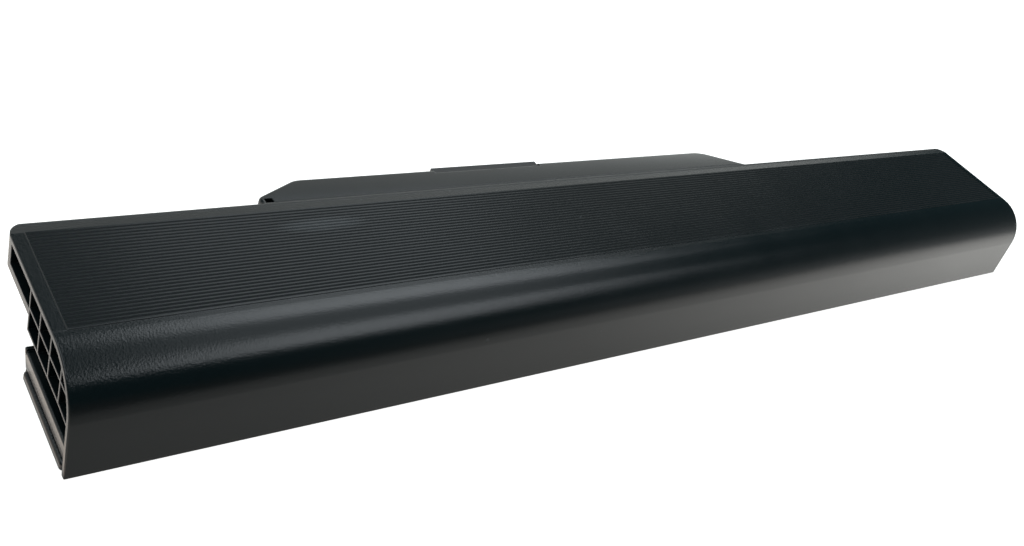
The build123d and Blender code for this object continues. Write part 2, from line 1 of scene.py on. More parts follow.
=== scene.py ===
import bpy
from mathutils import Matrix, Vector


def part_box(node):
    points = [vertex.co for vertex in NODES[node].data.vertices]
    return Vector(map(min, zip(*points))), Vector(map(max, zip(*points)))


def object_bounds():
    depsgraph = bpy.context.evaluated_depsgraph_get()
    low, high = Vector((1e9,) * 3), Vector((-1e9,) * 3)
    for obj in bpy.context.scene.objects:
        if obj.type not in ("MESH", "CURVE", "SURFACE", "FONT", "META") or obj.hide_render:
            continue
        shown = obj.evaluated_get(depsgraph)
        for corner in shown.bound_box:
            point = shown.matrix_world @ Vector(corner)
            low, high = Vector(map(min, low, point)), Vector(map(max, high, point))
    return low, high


bl_info = {
    "name": "Laptop battery",
    "version": (1, 0, 0),
    "blender": (4, 5, 0),
    "location": "View3D > Sidebar > Battery",
    "description": "Finishes for a bar-shaped laptop battery, with its studio",
    "category": "Object",
}

import bpy
import numpy as np
from bpy.props import FloatProperty, FloatVectorProperty, PointerProperty
from mathutils import Matrix, Vector

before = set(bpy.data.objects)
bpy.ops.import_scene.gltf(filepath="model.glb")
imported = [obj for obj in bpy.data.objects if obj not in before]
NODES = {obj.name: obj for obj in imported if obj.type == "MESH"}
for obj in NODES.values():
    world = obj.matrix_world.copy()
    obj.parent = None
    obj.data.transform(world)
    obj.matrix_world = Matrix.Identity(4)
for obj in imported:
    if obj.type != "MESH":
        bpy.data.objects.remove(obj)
cad_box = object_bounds()

RINGS = [name for name in NODES if name.startswith("cell_ring_")]
CELLS = [name.replace("_ring", "") for name in RINGS]
STRIPS = [name for name in NODES if name.startswith("link_strip_")] + ["negative_tab", "positive_tab"]
SENSE_LEADS = [name for name in NODES if name.startswith("sense_lead_")]


def colour(name, description, default):
    """A colour that the user can change."""
    return FloatVectorProperty(name=name, description=description, default=default, size=3, min=0, max=1,
                               subtype="COLOR")


def length(name, description, default):
    """A length in metres that the user can change."""
    return FloatProperty(name=name, description=description, default=default, min=0, unit="LENGTH",
                         precision=5)


def offset(name, description, default):
    """A place along an axis, in metres, that the user can change."""
    return FloatProperty(name=name, description=description, default=default, unit="LENGTH", precision=5)


def amount(name, description, default):
    """A number from 0 up that the user can change."""
    return FloatProperty(name=name, description=description, default=default, min=0)


def share(name, description, default):
    """A number from 0 to 1 that the user can change."""
    return FloatProperty(name=name, description=description, default=default, min=0, max=1, subtype="FACTOR")


def direction(name, description, default):
    """A direction that the user can change."""
    return FloatVectorProperty(name=name, description=description, default=default, size=3,
                               subtype="DIRECTION")


class CaseFinish(bpy.types.PropertyGroup):
    """Black moulded plastic of the two covers and the connector."""

    plastic: colour("Plastic", "Colour of the black plastic", (0.0018, 0.0047, 0.0053))
    plastic_pale: colour("Paler plastic", "Colour where the plastic is paler", (0.0042, 0.0080, 0.0088))
    # Paler edge colour: real wear from handling, and also a painted highlight on the broken edges and along the
    # panel's front edge.
    worn: colour("Worn edges", "Colour of the edges that handling has rubbed", (0.030, 0.032, 0.033))
    # This colour paints real dust specks, and also the painted highlight smear across the ridges.
    dust_and_highlight: colour("Dust", "Colour of the dust that settles on the plastic", (0.20, 0.22, 0.23))
    grain_size: length("Grain size", "Width of the grains left by the mould", 0.00036)
    grain_depth: length("Grain depth", "Depth of the grains left by the mould", 0.000034)
    edge_round: length("Edge round", "Radius that breaks the moulded edges", 0.00018)
    roughness: share("Roughness", "Roughness of the grained plastic", 0.21)
    tongue_roughness: share("Tongue roughness", "Roughness of the smooth tongue", 0.20)
    groove_dullness: share("Groove dullness", "How much rougher the grooves are than the ridges", 0.36)
    step_dullness: share("Step dullness", "How much rougher the step up to the tongue is", 0.30)
    step_round: length("Step round", "Radius that softens the step up to the tongue", 0.0007)
    tongue_depth: length("Tongue depth", "How far the tongue stands out behind the wing", 0.0078)
    panel_front: offset("Panel front", "Where the ridged panel starts, from the middle", -0.0116)
    panel_rear: offset("Panel rear", "Where the ridged panel ends, from the middle", 0.01186)
    panel_border: length("Panel border", "Plain border between the ridged panel and each end", 0.0022)
    panel_foot: length("Panel foot", "Height of the bottom of the panel's grooves", 0.02015)
    # The smear is a painted highlight: a soft paler patch across the ridges that stands in for a reflection of
    # light.
    smear_highlight: share("Smear", "How much dust the smear on the ridges holds", 0.17)
    smear_highlight_x: offset("Smear place", "Where the smear's middle is along the battery", -0.084)
    smear_highlight_y: offset("Smear depth", "Where the smear's middle is across the battery", 0.0067)
    smear_highlight_length: length("Smear length", "Half of the smear's length", 0.011)
    smear_highlight_width: length("Smear width", "Half of the smear's width", 0.0024)
    sag: amount("Sag", "How the tongue's slope changes along it, in radians", 0.05)
    connector: colour("Connector", "Colour of the connector block", (0.0042, 0.0044, 0.0048))


class CellFinish(bpy.types.PropertyGroup):
    """Cells, their paper rings and the insulation behind them."""

    sleeve: colour("Sleeve", "Colour of the shrink sleeve on a cell", (0.055, 0.17, 0.28))
    steel: colour("Steel", "Colour of the bare ends of a can", (0.62, 0.61, 0.59))
    paper: colour("Paper", "Colour of the insulating rings", (0.72, 0.70, 0.62))
    film: colour("Film", "Colour of the insulating sheet", (0.50, 0.40, 0.22))
    foam: colour("Foam", "Colour of the adhesive pads", (0.50, 0.50, 0.48))


class WiringFinish(bpy.types.PropertyGroup):
    """Nickel strips, contacts and insulated leads."""

    nickel: colour("Nickel", "Colour of the welded strips", (0.66, 0.64, 0.58))
    gold: colour("Contact plating", "Colour of the spring contacts", (0.80, 0.60, 0.27))
    positive: colour("Positive lead", "Colour of the positive lead's insulation", (0.45, 0.025, 0.02))
    negative: colour("Negative lead", "Colour of the negative lead's insulation", (0.018, 0.018, 0.019))
    sense: colour("Sense leads", "Colour of the sense leads' insulation", (0.68, 0.68, 0.65))


class BoardFinish(bpy.types.PropertyGroup):
    """Circuit board and the parts on it."""

    mask: colour("Solder mask", "Colour of the board between its tracks", (0.010, 0.075, 0.032))
    track: colour("Tracks", "Colour of the mask over the copper tracks", (0.028, 0.17, 0.062))
    fibre: colour("Glass fibre", "Colour of the board's cut edges", (0.42, 0.36, 0.20))
    tin: colour("Tin", "Colour of solder, chip leads and end caps", (0.70, 0.69, 0.66))
    epoxy: colour("Chip body", "Colour of the moulded chips", (0.018, 0.018, 0.020))
    ceramic: colour("Ceramic", "Colour of the capacitors", (0.47, 0.36, 0.23))
    fuse: colour("Fuse body", "Colour of the thermal fuse", (0.46, 0.46, 0.44))
    track_pitch: length("Track pitch", "Distance between the copper tracks", 0.0013)


class Studio(bpy.types.PropertyGroup):
    """Floor, lamps and camera."""

    floor: colour("Floor", "Colour of the floor", (0.86, 0.86, 0.85))
    floor_reach: length("Floor reach", "Distance from the battery to the edge of the floor", 4.0)
    floor_glow: share("Floor glow", "Light of the floor itself, as the camera sees it", 0.76)
    glow_tint: colour("Glow tint", "Colour of the floor's own light", (1.0, 0.995, 0.96))
    mirror_left: amount("Mirrored at left", "Light of the floor's left half in reflections", 1.18)
    left_gain: amount("Gain at left", "Its gain for each metre to the right, in the left half", 2.9)
    mirror_right: amount("Mirrored at right", "Light of the floor's right half in reflections", 1.27)
    right_gain: amount("Gain at right", "Its gain for each metre to the right, in the right half", 6.2)
    mirror_rear: amount("Gain to the rear", "Its gain for each metre to the rear", 10.0)
    mirror_least: amount("Least mirrored", "Its least light", 0.08)
    mirror_most: amount("Most mirrored", "Its most light", 1.75)
    contact_light: share("Contact light", "Share of it that is left at the foot of the front wall", 0.80)
    contact_reach: length("Contact reach", "How far that shade reaches to the front", 0.010)
    end_glow: amount("Glow at the end", "Light of the floor past the left end in reflections", 0.75)
    end_tint: colour("End tint", "Colour of that light", (1.0, 0.88, 0.78))
    lamp_height: length("Lamp height", "Height of the lamps over the floor", 1.0)
    lamp_length: length("Lamp length", "Length of each lamp, along the battery", 0.68)
    lamp_width: length("Lamp width", "Width of the rear lamp", 0.50)
    front_width: length("Front width", "Width of the front lamp", 0.78)
    lamp_x: length("Lamp place", "How far right of the battery's middle the lamps hang", 0.56)
    front_y: offset("Front lamp", "How far behind the battery the front lamp hangs", -0.81)
    rear_y: offset("Rear lamp", "How far behind the battery the rear lamp hangs", 0.47)
    front_shift: offset("Front shift", "How much further right the front lamp hangs", 0.06)
    fill_shift: offset("Fill shift", "How much further right the panel between the lamps hangs", -0.07)
    front_light: amount("Front light", "Brightness of the front lamp", 2.55)
    rear_light: amount("Rear light", "Brightness of the rear lamp", 2.8)
    fill_light: amount("Fill light", "Brightness of the panel between the lamps", 0.80)
    sky_light: amount("Sky light", "Brightness of the panel behind the lamps", 1.08)
    sky_reach: length("Sky reach", "How far behind the battery the last panel reaches", 1.30)
    sky_shift: length("Sky shift", "How much further right the last panel hangs", 0.10)
    lamp_tint: colour("Lamp tint", "Colour of the lamps and panels", (0.90, 0.955, 1.00))
    left_light: amount("Left light", "Brightness of the lamp at the left", 1.6)
    left_length: length("Left length", "Length of the lamp at the left", 1.0)
    left_width: length("Left width", "Width of the lamp at the left", 1.6)
    left_turn: FloatProperty(name="Left turn", description="How far the lamp at the left leans",
                             default=0.6, subtype="ANGLE")
    room: colour("Room", "Colour of the room round the floor", (0.026, 0.052, 0.060))
    backdrop: colour("Backdrop", "Colour of the pale backdrop behind the battery", (0.66, 0.690, 0.680))
    daylight: colour("Daylight", "Colour of the light from the right of the camera", (0.56, 0.58, 0.58))
    daylight_from: direction("Daylight from", "Direction of that light", (0.926, -0.374, 0.052))
    lens: FloatProperty(name="Lens", description="Focal length in millimetres", default=38.483, min=1)
    camera_place: FloatVectorProperty(name="Camera", description="Where the camera stands", size=3,
                                      default=(-0.17997, -0.13525, 0.14404), unit="LENGTH")
    camera_right: direction("Camera right", "Direction of the picture's right side",
                            (0.768669, -0.540629, 0.341860))
    camera_up: direction("Camera up", "Direction of the picture's top side", (0.118436, 0.645504, 0.754518))
    camera_shift: FloatVectorProperty(name="Camera shift", description="Shift, as a share of the width",
                                      size=2, default=(-0.0497, 0.0026))


def put(tree, kind, settings=None, **inputs):
    """Add a shader node, set its settings, and give each named input a value or a link."""
    node = tree.nodes.new("ShaderNode" + kind)
    for name, setting in (settings or {}).items():
        setattr(node, name, setting)
    for name, given in inputs.items():
        socket = node.inputs[name.replace("_", " ")]
        if isinstance(given, bpy.types.NodeSocket):
            tree.links.new(given, socket)
        else:
            socket.default_value = given
    return node


def sum_of(tree, operation, *terms):
    """The result of one arithmetic step on values or links."""
    node = tree.nodes.new("ShaderNodeMath")
    node.operation = operation
    for socket, term in zip(node.inputs, terms):
        if isinstance(term, bpy.types.NodeSocket):
            tree.links.new(term, socket)
        else:
            socket.default_value = term
    return node.outputs[0]


def ramp(tree, source, low, high, start=0.0, end=1.0):
    """A smooth step that goes from start to end while source goes from low to high."""
    node = put(tree, "MapRange", {"interpolation_type": "SMOOTHSTEP"}, Value=source, From_Min=low,
               From_Max=high, To_Min=start, To_Max=end)
    return node.outputs["Result"]


def blend_colours(tree, factor, first, second):
    """The first colour where factor is 0, and the second where it is 1."""
    node = tree.nodes.new("ShaderNodeMix")
    node.data_type = "RGBA"
    for index, given in ((0, factor), (6, first), (7, second)):
        if isinstance(given, bpy.types.NodeSocket):
            tree.links.new(given, node.inputs[index])
        else:
            node.inputs[index].default_value = given if index == 0 else (*given, 1.0)
    return node.outputs[2]


def between(tree, source, low, high):
    """1 where source lies between low and high, and 0 elsewhere."""
    over = sum_of(tree, "GREATER_THAN", source, low)
    return sum_of(tree, "MULTIPLY", over, sum_of(tree, "LESS_THAN", source, high))


def away_from(tree, source, spot):
    """How far source is from a spot, on either side."""
    return sum_of(tree, "ABSOLUTE", sum_of(tree, "SUBTRACT", source, spot))


def place(tree):
    """Object coordinates, as one vector and as its values by axis."""
    vector = put(tree, "TexCoord").outputs["Object"]
    return vector, put(tree, "SeparateXYZ", Vector=vector).outputs


def stretched(tree, vector, scale):
    """Coordinates scaled by their own factor on each axis."""
    return put(tree, "Mapping", Vector=vector, Scale=scale).outputs["Vector"]


def noise(tree, vector, scale, detail=2.0, roughness=0.5):
    """Fractal noise from 0 to 1, with scale as waves per metre."""
    node = put(tree, "TexNoise", Vector=vector, Scale=scale, Detail=detail, Roughness=roughness)
    return node.outputs[0]


def new_group(name, inputs, outputs):
    """An empty node group, its inlet and its outlet. Sockets are pairs of a name and a type."""
    tree = bpy.data.node_groups.new(name, "ShaderNodeTree")
    for label, kind in inputs:
        tree.interface.new_socket(label, in_out="INPUT", socket_type="NodeSocket" + kind)
    for label, kind in outputs:
        tree.interface.new_socket(label, in_out="OUTPUT", socket_type="NodeSocket" + kind)
    return tree, tree.nodes.new("NodeGroupInput"), tree.nodes.new("NodeGroupOutput")


def moulded_grain():
    """Group: mould grain as a normal, with a slow change of tone and a mask of the broken edges.

    The grain is fractal noise of the given grain size, faded by Cover. The edges are where the normal,
    averaged over the edge radius, leaves the surface's own.
    """
    known = bpy.data.node_groups.get("moulded grain")
    if known:
        return known
    inputs = [("Size", "Float"), ("Depth", "Float"), ("Cover", "Float"), ("Edge round", "Float")]
    outputs = [("Normal", "Vector"), ("Tone", "Float"), ("Edge", "Float")]
    tree, inlet, outlet = new_group("moulded grain", inputs, outputs)
    vector = put(tree, "TexCoord").outputs["Object"]
    waves = sum_of(tree, "DIVIDE", 1.0, inlet.outputs["Size"])
    grain = noise(tree, vector, waves, detail=2.5, roughness=0.6)
    height = sum_of(tree, "MULTIPLY", grain, inlet.outputs["Cover"])
    broken = put(tree, "Bevel", {"samples": 6}, Radius=inlet.outputs["Edge round"]).outputs["Normal"]
    bump = put(tree, "Bump", Distance=inlet.outputs["Depth"], Height=height, Normal=broken)
    own = put(tree, "NewGeometry").outputs["Normal"]
    along = put(tree, "VectorMath", {"operation": "DOT_PRODUCT"})
    tree.links.new(broken, along.inputs[0])
    tree.links.new(own, along.inputs[1])
    tree.links.new(bump.outputs["Normal"], outlet.inputs["Normal"])
    tree.links.new(noise(tree, vector, 55.0, detail=4.0, roughness=0.6), outlet.inputs["Tone"])
    tree.links.new(ramp(tree, along.outputs["Value"], 0.985, 0.88), outlet.inputs["Edge"])
    return tree


def handling_marks():
    """Group: masks of smudges, fine scratches and dust specks.

    Smudges are soft blobs of slow noise. Scratches are the thin zero line of stretched noise. Specks are the
    middles of a few scattered Voronoi cells.
    """
    known = bpy.data.node_groups.get("handling marks")
    if known:
        return known
    tree, inlet, outlet = new_group("handling marks", [("Speck spacing", "Float")],
                                    [("Smudge", "Float"), ("Scratch", "Float"), ("Speck", "Float")])
    vector = put(tree, "TexCoord").outputs["Object"]
    smudge = ramp(tree, noise(tree, vector, 38.0, detail=3.0), 0.50, 0.72)
    lines = noise(tree, stretched(tree, vector, (160.0, 900.0, 900.0)), 1.0, detail=1.0)
    rare = ramp(tree, noise(tree, vector, 90.0), 0.60, 0.68)
    scratch = sum_of(tree, "MULTIPLY", ramp(tree, away_from(tree, lines, 0.5), 0.004, 0.0), rare)
    spots = put(tree, "TexVoronoi", Vector=vector,
                Scale=sum_of(tree, "DIVIDE", 1.0, inlet.outputs["Speck spacing"]))
    chance = put(tree, "SeparateColor", Color=spots.outputs["Color"]).outputs[0]
    chosen = ramp(tree, chance, 0.86, 0.9)
    speck = sum_of(tree, "MULTIPLY", ramp(tree, spots.outputs["Distance"], 0.075, 0.03), chosen)
    for label, mask in (("Smudge", smudge), ("Scratch", scratch), ("Speck", speck)):
        tree.links.new(mask, outlet.inputs[label])
    return tree


def rolled_metal():
    """Group: rolling lines of sheet metal as a normal and a roughness.

    The lines are noise stretched along Z, with a slower cloud that makes some patches duller.
    """
    known = bpy.data.node_groups.get("rolled metal")
    if known:
        return known
    tree, inlet, outlet = new_group("rolled metal", [("Dullness", "Float"), ("Depth", "Float")],
                                    [("Normal", "Vector"), ("Roughness", "Float")])
    vector = put(tree, "TexCoord").outputs["Object"]
    lines = noise(tree, stretched(tree, vector, (9000.0, 9000.0, 400.0)), 1.0, detail=2.0)
    cloud = noise(tree, vector, 420.0, detail=3.0)
    bump = put(tree, "Bump", Distance=inlet.outputs["Depth"], Height=lines)
    rough = sum_of(tree, "ADD", inlet.outputs["Dullness"], sum_of(tree, "MULTIPLY", cloud, 0.16))
    tree.links.new(bump.outputs["Normal"], outlet.inputs["Normal"])
    tree.links.new(rough, outlet.inputs["Roughness"])
    return tree


def new_material(name):
    """A material with an empty tree but for its output and one principled shader."""
    material = bpy.data.materials.new(name)
    material.use_nodes = True
    tree = material.node_tree
    tree.nodes.clear()
    shader = put(tree, "BsdfPrincipled")
    tree.links.new(shader.outputs["BSDF"], put(tree, "OutputMaterial").inputs["Surface"])
    return material, tree, shader


def feed(tree, shader, **inputs):
    """Give the shader's inputs values or links."""
    for name, given in inputs.items():
        socket = shader.inputs[name.replace("_", " ")]
        if isinstance(given, bpy.types.NodeSocket):
            tree.links.new(given, socket)
        else:
            socket.default_value = (*given, 1.0) if name == "Base_Color" else given


def use_group(tree, group, **inputs):
    """Place a node group in a material with its own values."""
    node = tree.nodes.new("ShaderNodeGroup")
    node.node_tree = group
    for name, given in inputs.items():
        socket = node.inputs[name.replace("_", " ")]
        if isinstance(given, bpy.types.NodeSocket):
            tree.links.new(given, socket)
        else:
            socket.default_value = given
    return node.outputs


def dress(names, material):
    """Put a material on CAD nodes."""
    for name in names:
        NODES[name].material_slots[0].material = material


def painted_highlight_smear(tree, finish, x, y):
    """An oval of painted highlight that thins out towards its rim."""
    aside = sum_of(tree, "DIVIDE", sum_of(tree, "SUBTRACT", x, finish.smear_highlight_x), finish.smear_highlight_length)
    back = sum_of(tree, "DIVIDE", sum_of(tree, "SUBTRACT", y, finish.smear_highlight_y), finish.smear_highlight_width)
    squared = sum_of(tree, "MULTIPLY", back, back)
    return ramp(tree, sum_of(tree, "MULTIPLY_ADD", aside, aside, squared), 1.0, 0.0, 0.0, finish.smear_highlight)


def tongue_dip(tree, finish, x, y, middle):
    """Height of the tongue's sag: a twist along X and a bow along Y, both about the tongue's middle line."""
    half_run = 0.07
    half_depth = 0.004
    rear = sum_of(tree, "SUBTRACT", y, middle)
    bow = sum_of(tree, "MULTIPLY", rear, 0.5 / half_depth)
    bend = sum_of(tree, "MULTIPLY_ADD", x, 1.0 / half_run, bow)
    return sum_of(tree, "MULTIPLY", sum_of(tree, "MULTIPLY", bend, rear), -finish.sag)


def case_plastic(finish):
    """Satin black plastic: grained, but for the ridged panel and the smooth tongue behind the wing."""
    material, tree, shader = new_material("case plastic")
    axes = place(tree)[1]
    x, y, z = axes["X"], axes["Y"], axes["Z"]
    cover_end, cover_rear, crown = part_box("top_cover")[1]
    wing_rear = cover_rear - finish.tongue_depth
    panel_end = cover_end - finish.panel_border
    smooth = ramp(tree, y, wing_rear - 0.0002, wing_rear + 0.0002)
    raised = sum_of(tree, "GREATER_THAN", z, finish.panel_foot)
    panel = sum_of(tree, "MULTIPLY", between(tree, y, finish.panel_front, finish.panel_rear), raised)
    panel = sum_of(tree, "MULTIPLY", panel, between(tree, x, -panel_end, panel_end))
    groove = sum_of(tree, "MULTIPLY", panel, ramp(tree, z, crown - 0.00002, crown - 0.00010))
    step = ramp(tree, away_from(tree, y, wing_rear), 0.0010, 0.0006)
    plain = sum_of(tree, "MULTIPLY", sum_of(tree, "ADD", smooth, panel), 0.85)
    sharp = ramp(tree, panel, 0.0, 1.0, finish.edge_round, 0.0)
    grain = use_group(tree, moulded_grain(), Size=finish.grain_size, Depth=finish.grain_depth,
                      Cover=sum_of(tree, "SUBTRACT", 1.0, plain),
                      Edge_round=sum_of(tree, "MULTIPLY_ADD", step, finish.step_round, sharp))
    tone = grain["Tone"]
    marks = use_group(tree, handling_marks(), Speck_spacing=0.006)
    plastic = blend_colours(tree, sum_of(tree, "MULTIPLY", tone, 0.6), finish.plastic, finish.plastic_pale)
    ahead_of_step = ramp(tree, y, wing_rear - 0.0016, wing_rear - 0.0012, 1.0, 0.0)
    # Broken edges painted paler: partly wear, partly a painted highlight where light would catch the edges; kept
    # off the step up to the tongue.
    rubbed_and_highlight = sum_of(tree, "MULTIPLY", grain["Edge"], ramp(tree, tone, 0.3, 0.6, 0.3, 1.0))
    rubbed_and_highlight = sum_of(tree, "MULTIPLY", rubbed_and_highlight, ahead_of_step)
    # Painted highlight: a thin paler line along the panel's front edge, standing in for light caught by that
    # edge.
    rim = ramp(tree, away_from(tree, y, finish.panel_front), 0.00026, 0.00012)
    rim = sum_of(tree, "MULTIPLY", rim, raised)
    rim = sum_of(tree, "MULTIPLY", rim, ramp(tree, tone, 0.3, 0.7, 0.1, 0.6))
    # Both masks paint the paler colour: wear with a painted edge highlight, and the painted highlight at the
    # panel's front edge.
    plastic = blend_colours(tree, sum_of(tree, "MAXIMUM", rubbed_and_highlight, rim), plastic, finish.worn)
    # Dust specks and scratches, plus the painted highlight smear on the panel, all blended toward the
    # dust_and_highlight colour.
    dust_and_highlight_mask = sum_of(tree, "ADD", sum_of(tree, "MULTIPLY", marks["Speck"], 0.22),
                   sum_of(tree, "MULTIPLY", marks["Scratch"], 0.03))
    dust_and_highlight_mask = sum_of(tree, "MULTIPLY_ADD", panel, painted_highlight_smear(tree, finish, x, y), dust_and_highlight_mask)
    level = ramp(tree, smooth, 0.0, 1.0, finish.roughness, finish.tongue_roughness)
    level = sum_of(tree, "MULTIPLY_ADD", groove, finish.groove_dullness, level)
    level = sum_of(tree, "MULTIPLY_ADD", step, finish.step_dullness, level)
    level = sum_of(tree, "MULTIPLY_ADD", sum_of(tree, "SUBTRACT", tone, 0.5), 0.10, level)
    rough = sum_of(tree, "MULTIPLY_ADD", marks["Smudge"], -0.03, level)
    dip = tongue_dip(tree, finish, x, y, wing_rear + finish.tongue_depth / 2)
    height = sum_of(tree, "MULTIPLY", dip, smooth)
    sagged = put(tree, "Bump", Distance=1.0, Height=height, Normal=grain["Normal"])
    feed(tree, shader, Base_Color=blend_colours(tree, dust_and_highlight_mask, plastic, finish.dust_and_highlight), Roughness=rough,
         Normal=sagged.outputs["Normal"])
    return material


def connector_plastic(finish):
    """Smoother black plastic of the connector block."""
    material, tree, shader = new_material("connector plastic")
    grain = use_group(tree, moulded_grain(), Size=finish.grain_size * 0.6, Depth=finish.grain_depth * 0.4,
                      Cover=1.0, Edge_round=finish.edge_round * 0.7)
    marks = use_group(tree, handling_marks(), Speck_spacing=0.004)
    # Paler colour on the broken edges: wear and a painted edge highlight; elsewhere a faint paler tone at random.
    pale = sum_of(tree, "MAXIMUM", sum_of(tree, "MULTIPLY", grain["Tone"], 0.3), grain["Edge"])
    plastic = blend_colours(tree, pale, finish.connector, finish.plastic_pale)
    skin = blend_colours(tree, sum_of(tree, "MULTIPLY", marks["Speck"], 0.2), plastic, finish.dust_and_highlight)
    rough = ramp(tree, grain["Tone"], 0.2, 0.8, 0.30, 0.40)
    feed(tree, shader, Base_Color=skin, Roughness=rough, Normal=grain["Normal"])
    return material


def cell_sleeve(finish):
    """Shrink sleeve with slack ripples near its ends, and bare steel where it stops."""
    material, tree, shader = new_material("cell sleeve")
    vector, axes = place(tree)
    start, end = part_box("cell_1")
    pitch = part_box("cell_2")[0][0] - start[0]
    along = sum_of(tree, "FLOORED_MODULO", sum_of(tree, "SUBTRACT", axes["X"], start[0]), pitch)
    run = end[0] - start[0]
    left = ramp(tree, along, 0.0012, 0.0007)
    right = ramp(tree, along, run - 0.0018, run - 0.0012)
    bare = sum_of(tree, "MAXIMUM", left, right)
    ripples = noise(tree, stretched(tree, vector, (120.0, 900.0, 900.0)), 1.0, detail=2.0)
    slack = sum_of(tree, "MAXIMUM", ramp(tree, along, 0.006, 0.001),
                   ramp(tree, along, run - 0.007, run - 0.002))
    height = sum_of(tree, "MULTIPLY", ripples, sum_of(tree, "ADD", slack, 0.12))
    bump = put(tree, "Bump", Distance=0.00012, Height=height)
    marks = use_group(tree, handling_marks(), Speck_spacing=0.008)
    tone = noise(tree, vector, 30.0, detail=3.0)
    dark = tuple(0.78 * part for part in finish.sleeve)
    sleeve = blend_colours(tree, tone, dark, finish.sleeve)
    skin = blend_colours(tree, bare, sleeve, finish.steel)
    rough = ramp(tree, marks["Smudge"], 0.0, 1.0, 0.26, 0.38)
    feed(tree, shader, Base_Color=skin, Metallic=bare, Roughness=rough, Normal=bump.outputs["Normal"])
    return material


def fibre_sheet(name, tint, fibre_size, roughness):
    """Pressed paper or film with fine fibres that run every way."""
    material, tree, shader = new_material(name)
    vector = put(tree, "TexCoord").outputs["Object"]
    across = noise(tree, stretched(tree, vector, (0.2, 1.0, 1.0)), 1.0 / fibre_size)
    upright = noise(tree, stretched(tree, vector, (1.0, 1.0, 0.2)), 1.0 / fibre_size)
    fibres = sum_of(tree, "MAXIMUM", across, upright)
    dark = tuple(0.80 * part for part in tint)
    skin = blend_colours(tree, ramp(tree, fibres, 0.35, 0.75), dark, tuple(tint))
    bump = put(tree, "Bump", Distance=fibre_size * 0.12, Height=fibres)
    rough = ramp(tree, fibres, 0.3, 0.8, roughness - 0.08, roughness + 0.06)
    feed(tree, shader, Base_Color=skin, Roughness=rough, Normal=bump.outputs["Normal"])
    return material


def adhesive_foam(finish):
    """Foam with small round pores, painted darker in their middles as shade."""
    material, tree, shader = new_material("adhesive foam")
    vector = put(tree, "TexCoord").outputs["Object"]
    pores = put(tree, "TexVoronoi", Vector=vector, Scale=2600.0).outputs["Distance"]
    dark = tuple(0.62 * part for part in finish.foam)
    # Painted shade: each pore's middle, where the bump sinks it, is darker.
    skin = blend_colours(tree, ramp(tree, pores, 0.15, 0.5), dark, tuple(finish.foam))
    bump = put(tree, "Bump", Distance=0.00012, Height=pores)
    feed(tree, shader, Base_Color=skin, Roughness=ramp(tree, pores, 0.0, 0.6, 0.95, 0.8),
         Normal=bump.outputs["Normal"])
    return material


def plated_metal(name, tint, dullness):
    """Rolled and plated sheet metal with faint tarnish."""
    material, tree, shader = new_material(name)
    vector = put(tree, "TexCoord").outputs["Object"]
    rolled = use_group(tree, rolled_metal(), Dullness=dullness, Depth=0.000004)
    tarnish = ramp(tree, noise(tree, vector, 260.0, detail=4.0), 0.45, 0.8)
    dull = tuple(0.72 * part for part in tint)
    skin = blend_colours(tree, tarnish, tuple(tint), dull)
    feed(tree, shader, Base_Color=skin, Metallic=1.0, Roughness=rolled["Roughness"], Normal=rolled["Normal"])
    return material


def wire_insulation(name, tint):
    """Soft plastic on a wire, with faint drawing lines and a slow change of gloss."""
    material, tree, shader = new_material(name)
    vector = put(tree, "TexCoord").outputs["Object"]
    fine = noise(tree, vector, 5200.0, detail=2.0)
    cloud = noise(tree, vector, 140.0, detail=2.0)
    dark = tuple(0.8 * part for part in tint)
    bump = put(tree, "Bump", Distance=0.00001, Height=fine)
    feed(tree, shader, Base_Color=blend_colours(tree, cloud, dark, tuple(tint)),
         Roughness=ramp(tree, cloud, 0.3, 0.7, 0.32, 0.46), Normal=bump.outputs["Normal"])
    return material


def printed_board(finish):
    """Green mask over raised copper tracks, tinned holes, and fibre on the cut edges."""
    material, tree, shader = new_material("printed board")
    vector, axes = place(tree)
    wander = noise(tree, vector, 90.0, detail=0.0)
    bend = sum_of(tree, "MULTIPLY", ramp(tree, wander, 0.45, 0.55, -0.5, 0.5), finish.track_pitch)
    row = sum_of(tree, "FLOORED_MODULO", sum_of(tree, "ADD", axes["Y"], bend), finish.track_pitch)
    middle = away_from(tree, row, finish.track_pitch / 2)
    track = ramp(tree, middle, finish.track_pitch * 0.20, finish.track_pitch * 0.15)
    laid = sum_of(tree, "MULTIPLY", track, ramp(tree, noise(tree, vector, 60.0), 0.42, 0.45))
    spots = put(tree, "TexVoronoi", {"voronoi_dimensions": "2D"}, Vector=vector, Scale=260.0)
    tinned = ramp(tree, spots.outputs["Distance"], 0.11, 0.10)
    face = put(tree, "SeparateXYZ", Vector=put(tree, "NewGeometry").outputs["Normal"])
    flat = ramp(tree, sum_of(tree, "ABSOLUTE", face.outputs["Z"]), 0.5, 0.7)
    via = sum_of(tree, "MULTIPLY", tinned, flat)
    green = blend_colours(tree, laid, finish.mask, finish.track)
    top = blend_colours(tree, via, green, finish.tin)
    skin = blend_colours(tree, flat, finish.fibre, top)
    weave = noise(tree, stretched(tree, vector, (2200.0, 2200.0, 9000.0)), 1.0)
    height = sum_of(tree, "ADD", laid, sum_of(tree, "MULTIPLY", weave, 0.25))
    bump = put(tree, "Bump", Distance=0.00003, Height=height)
    feed(tree, shader, Base_Color=skin, Metallic=via, Roughness=ramp(tree, weave, 0.2, 0.8, 0.30, 0.45),
         Normal=bump.outputs["Normal"])
    return material


